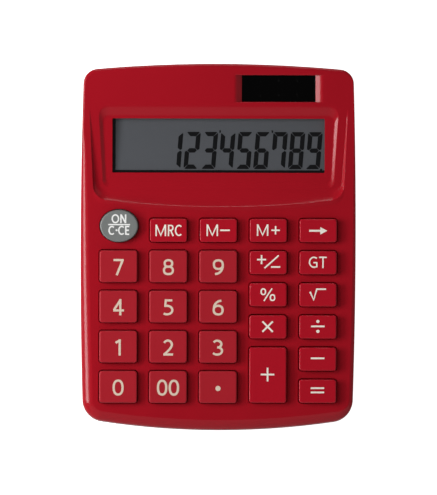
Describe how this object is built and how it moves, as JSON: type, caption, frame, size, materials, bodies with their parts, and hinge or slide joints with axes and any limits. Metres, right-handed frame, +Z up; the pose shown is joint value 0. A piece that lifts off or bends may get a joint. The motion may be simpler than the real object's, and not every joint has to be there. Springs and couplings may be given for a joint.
{
  "type": "pocket calculator",
  "caption": "Wedge-shaped solar and battery calculator with sprung number, memory and function keys, a recessed reflective display and a sliding battery cover.",
  "frame": {"origin": "centre of the footprint, on the surface that the feet rest on", "axes": "+X to the right as the user sees it, +Y from the front edge to the rear edge, +Z up"},
  "size_m": [0.103, 0.1372, 0.0174],
  "materials": {
    "shell": "satin",
    "number_key": "satin",
    "function_key": "gloss",
    "grey_key": "satin",
    "clear_window": "polished",
    "lcd_glass": "satin",
    "reflective_film": "satin",
    "white_plastic": "matte",
    "ribbon_film": "satin",
    "solar_glass": "polished",
    "red_wire": "satin",
    "black_wire": "satin",
    "board_laminate": "satin",
    "pad_plating": "satin",
    "black_resin": "gloss",
    "capacitor_sleeve": "satin",
    "silicone": "matte",
    "battery_steel": "satin",
    "spring_steel": "satin",
    "screw_steel": "satin",
    "foot_rubber": "matte"
  },
  "bodies": {
    "housing": {"top_case": "shell", "bottom_case": "shell", "display_window": "clear_window", "lcd_panel": "lcd_glass", "lcd_backing_film": "reflective_film", "lcd_holder": "white_plastic", "battery_holder": "white_plastic", "lcd_ribbon": "ribbon_film", "solar_cell": "solar_glass", "solar_leads": "red_wire", "battery_leads": "black_wire", "circuit_board": "board_laminate", "contact_pads": "pad_plating", "chip_cover": "black_resin", "capacitors": "capacitor_sleeve", "keypad_membrane": "silicone", "battery": "battery_steel", "battery_contact_positive": "spring_steel", "battery_contact_negative": "spring_steel", "case_screws": "screw_steel", "board_screws": "screw_steel", "rubber_feet": "foot_rubber"},
    "battery_cover": {"battery_cover": "shell"},
    "key_on_clear": {"key_on_clear": "grey_key"},
    "key_7": {"key_7": "number_key"},
    "key_8": {"key_8": "number_key"},
    "key_9": {"key_9": "number_key"},
    "key_4": {"key_4": "number_key"},
    "key_5": {"key_5": "number_key"},
    "key_6": {"key_6": "number_key"},
    "key_1": {"key_1": "number_key"},
    "key_2": {"key_2": "number_key"},
    "key_3": {"key_3": "number_key"},
    "key_0": {"key_0": "number_key"},
    "key_00": {"key_00": "number_key"},
    "key_point": {"key_point": "number_key"},
    "key_memory_recall": {"key_memory_recall": "function_key"},
    "key_memory_minus": {"key_memory_minus": "function_key"},
    "key_memory_plus": {"key_memory_plus": "function_key"},
    "key_backspace": {"key_backspace": "function_key"},
    "key_sign": {"key_sign": "function_key"},
    "key_grand_total": {"key_grand_total": "function_key"},
    "key_percent": {"key_percent": "function_key"},
    "key_root": {"key_root": "function_key"},
    "key_multiply": {"key_multiply": "function_key"},
    "key_divide": {"key_divide": "function_key"},
    "key_minus": {"key_minus": "function_key"},
    "key_equals": {"key_equals": "function_key"},
    "key_plus": {"key_plus": "function_key"}
  },
  "joints": [
    {"name": "key_on_clear_press", "type": "slide", "parent": "housing", "child": "key_on_clear", "axis": [0, 0.0582, -0.9983], "range_m": [0, 0.0013], "stiffness_N_per_m": 450, "springref_m": -0.0004, "deforming": ["keypad_membrane"]},
    {"name": "key_7_press", "type": "slide", "parent": "housing", "child": "key_7", "axis": [0, 0.0582, -0.9983], "range_m": [0, 0.0013], "stiffness_N_per_m": 450, "springref_m": -0.0004, "deforming": ["keypad_membrane"]},
    {"name": "key_8_press", "type": "slide", "parent": "housing", "child": "key_8", "axis": [0, 0.0582, -0.9983], "range_m": [0, 0.0013], "stiffness_N_per_m": 450, "springref_m": -0.0004, "deforming": ["keypad_membrane"]},
    {"name": "key_9_press", "type": "slide", "parent": "housing", "child": "key_9", "axis": [0, 0.0582, -0.9983], "range_m": [0, 0.0013], "stiffness_N_per_m": 450, "springref_m": -0.0004, "deforming": ["keypad_membrane"]},
    {"name": "key_4_press", "type": "slide", "parent": "housing", "child": "key_4", "axis": [0, 0.0582, -0.9983], "range_m": [0, 0.0013], "stiffness_N_per_m": 450, "springref_m": -0.0004, "deforming": ["keypad_membrane"]},
    {"name": "key_5_press", "type": "slide", "parent": "housing", "child": "key_5", "axis": [0, 0.0582, -0.9983], "range_m": [0, 0.0013], "stiffness_N_per_m": 450, "springref_m": -0.0004, "deforming": ["keypad_membrane"]},
    {"name": "key_6_press", "type": "slide", "parent": "housing", "child": "key_6", "axis": [0, 0.0582, -0.9983], "range_m": [0, 0.0013], "stiffness_N_per_m": 450, "springref_m": -0.0004, "deforming": ["keypad_membrane"]},
    {"name": "key_1_press", "type": "slide", "parent": "housing", "child": "key_1", "axis": [0, 0.0582, -0.9983], "range_m": [0, 0.0013], "stiffness_N_per_m": 450, "springref_m": -0.0004, "deforming": ["keypad_membrane"]},
    {"name": "key_2_press", "type": "slide", "parent": "housing", "child": "key_2", "axis": [0, 0.0582, -0.9983], "range_m": [0, 0.0013], "stiffness_N_per_m": 450, "springref_m": -0.0004, "deforming": ["keypad_membrane"]},
    {"name": "key_3_press", "type": "slide", "parent": "housing", "child": "key_3", "axis": [0, 0.0582, -0.9983], "range_m": [0, 0.0013], "stiffness_N_per_m": 450, "springref_m": -0.0004, "deforming": ["keypad_membrane"]},
    {"name": "key_0_press", "type": "slide", "parent": "housing", "child": "key_0", "axis": [0, 0.0582, -0.9983], "range_m": [0, 0.0013], "stiffness_N_per_m": 450, "springref_m": -0.0004, "deforming": ["keypad_membrane"]},
    {"name": "key_00_press", "type": "slide", "parent": "housing", "child": "key_00", "axis": [0, 0.0582, -0.9983], "range_m": [0, 0.0013], "stiffness_N_per_m": 450, "springref_m": -0.0004, "deforming": ["keypad_membrane"]},
    {"name": "key_point_press", "type": "slide", "parent": "housing", "child": "key_point", "axis": [0, 0.0582, -0.9983], "range_m": [0, 0.0013], "stiffness_N_per_m": 450, "springref_m": -0.0004, "deforming": ["keypad_membrane"]},
    {"name": "key_memory_recall_press", "type": "slide", "parent": "housing", "child": "key_memory_recall", "axis": [0, 0.0582, -0.9983], "range_m": [0, 0.0013], "stiffness_N_per_m": 450, "springref_m": -0.0004, "deforming": ["keypad_membrane"]},
    {"name": "key_memory_minus_press", "type": "slide", "parent": "housing", "child": "key_memory_minus", "axis": [0, 0.0582, -0.9983], "range_m": [0, 0.0013], "stiffness_N_per_m": 450, "springref_m": -0.0004, "deforming": ["keypad_membrane"]},
    {"name": "key_memory_plus_press", "type": "slide", "parent": "housing", "child": "key_memory_plus", "axis": [0, 0.0582, -0.9983], "range_m": [0, 0.0013], "stiffness_N_per_m": 450, "springref_m": -0.0004, "deforming": ["keypad_membrane"]},
    {"name": "key_backspace_press", "type": "slide", "parent": "housing", "child": "key_backspace", "axis": [0, 0.0582, -0.9983], "range_m": [0, 0.0013], "stiffness_N_per_m": 450, "springref_m": -0.0004, "deforming": ["keypad_membrane"]},
    {"name": "key_sign_press", "type": "slide", "parent": "housing", "child": "key_sign", "axis": [0, 0.0582, -0.9983], "range_m": [0, 0.0013], "stiffness_N_per_m": 450, "springref_m": -0.0004, "deforming": ["keypad_membrane"]},
    {"name": "key_grand_total_press", "type": "slide", "parent": "housing", "child": "key_grand_total", "axis": [0, 0.0582, -0.9983], "range_m": [0, 0.0013], "stiffness_N_per_m": 450, "springref_m": -0.0004, "deforming": ["keypad_membrane"]},
    {"name": "key_percent_press", "type": "slide", "parent": "housing", "child": "key_percent", "axis": [0, 0.0582, -0.9983], "range_m": [0, 0.0013], "stiffness_N_per_m": 450, "springref_m": -0.0004, "deforming": ["keypad_membrane"]},
    {"name": "key_root_press", "type": "slide", "parent": "housing", "child": "key_root", "axis": [0, 0.0582, -0.9983], "range_m": [0, 0.0013], "stiffness_N_per_m": 450, "springref_m": -0.0004, "deforming": ["keypad_membrane"]},
    {"name": "key_multiply_press", "type": "slide", "parent": "housing", "child": "key_multiply", "axis": [0, 0.0582, -0.9983], "range_m": [0, 0.0013], "stiffness_N_per_m": 450, "springref_m": -0.0004, "deforming": ["keypad_membrane"]},
    {"name": "key_divide_press", "type": "slide", "parent": "housing", "child": "key_divide", "axis": [0, 0.0582, -0.9983], "range_m": [0, 0.0013], "stiffness_N_per_m": 450, "springref_m": -0.0004, "deforming": ["keypad_membrane"]},
    {"name": "key_minus_press", "type": "slide", "parent": "housing", "child": "key_minus", "axis": [0, 0.0582, -0.9983], "range_m": [0, 0.0013], "stiffness_N_per_m": 450, "springref_m": -0.0004, "deforming": ["keypad_membrane"]},
    {"name": "key_equals_press", "type": "slide", "parent": "housing", "child": "key_equals", "axis": [0, 0.0582, -0.9983], "range_m": [0, 0.0013], "stiffness_N_per_m": 450, "springref_m": -0.0004, "deforming": ["keypad_membrane"]},
    {"name": "key_plus_press", "type": "slide", "parent": "housing", "child": "key_plus", "axis": [0, 0.0582, -0.9983], "range_m": [0, 0.0013], "stiffness_N_per_m": 450, "springref_m": -0.0004, "deforming": ["keypad_membrane"]},
    {"name": "battery_cover_slide", "type": "slide", "parent": "housing", "child": "battery_cover", "axis": [0, 1, 0], "range_m": [0, 0.038]}
  ]
}
